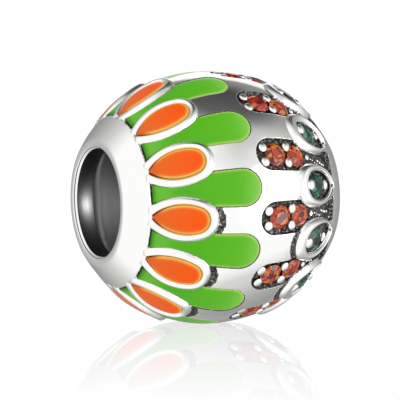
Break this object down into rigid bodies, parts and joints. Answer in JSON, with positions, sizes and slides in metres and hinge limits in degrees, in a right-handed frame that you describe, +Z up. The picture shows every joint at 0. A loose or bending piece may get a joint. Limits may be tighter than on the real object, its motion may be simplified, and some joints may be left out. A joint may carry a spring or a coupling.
{
  "type": "bead charm",
  "caption": "Large-hole cast silver bead charm, with enamelled petals round one mouth and stones in drop-shaped settings round the other, threaded on a bracelet or cord.",
  "frame": {"origin": "centre of the bore, half way between the mouths", "axes": "+X along the bore, from the enamelled petals towards the stones; +Z up, with the bead lying on its round side as it does on a table"},
  "size_m": [0.01, 0.0106, 0.0106],
  "materials": {
    "silver": "polished",
    "orange_enamel": "gloss",
    "green_enamel": "gloss",
    "orange_stone": "polished",
    "green_stone": "polished"
  },
  "bodies": {
    "root": {"silver_body": "silver", "orange_petal_01": "orange_enamel", "orange_petal_02": "orange_enamel", "orange_petal_03": "orange_enamel", "orange_petal_04": "orange_enamel", "orange_petal_05": "orange_enamel", "orange_petal_06": "orange_enamel", "orange_petal_07": "orange_enamel", "orange_petal_08": "orange_enamel", "orange_petal_09": "orange_enamel", "orange_petal_10": "orange_enamel", "orange_petal_11": "orange_enamel", "orange_petal_12": "orange_enamel", "green_petal_01": "green_enamel", "green_petal_02": "green_enamel", "green_petal_03": "green_enamel", "green_petal_04": "green_enamel", "green_petal_05": "green_enamel", "green_petal_06": "green_enamel", "green_petal_07": "green_enamel", "green_petal_08": "green_enamel", "green_petal_09": "green_enamel", "green_petal_10": "green_enamel", "green_petal_11": "green_enamel", "green_petal_12": "green_enamel", "orange_stones_01": "orange_stone", "orange_stones_02": "orange_stone", "orange_stones_03": "orange_stone", "orange_stones_04": "orange_stone", "orange_stones_05": "orange_stone", "orange_stones_06": "orange_stone", "orange_stones_07": "orange_stone", "orange_stones_08": "orange_stone", "orange_stones_09": "orange_stone", "orange_stones_10": "orange_stone", "orange_stones_11": "orange_stone", "orange_stones_12": "orange_stone", "green_stone_01": "green_stone", "green_stone_02": "green_stone", "green_stone_03": "green_stone", "green_stone_04": "green_stone", "green_stone_05": "green_stone", "green_stone_06": "green_stone", "green_stone_07": "green_stone", "green_stone_08": "green_stone", "green_stone_09": "green_stone", "green_stone_10": "green_stone", "green_stone_11": "green_stone", "green_stone_12": "green_stone"}
  },
  "joints": []
}
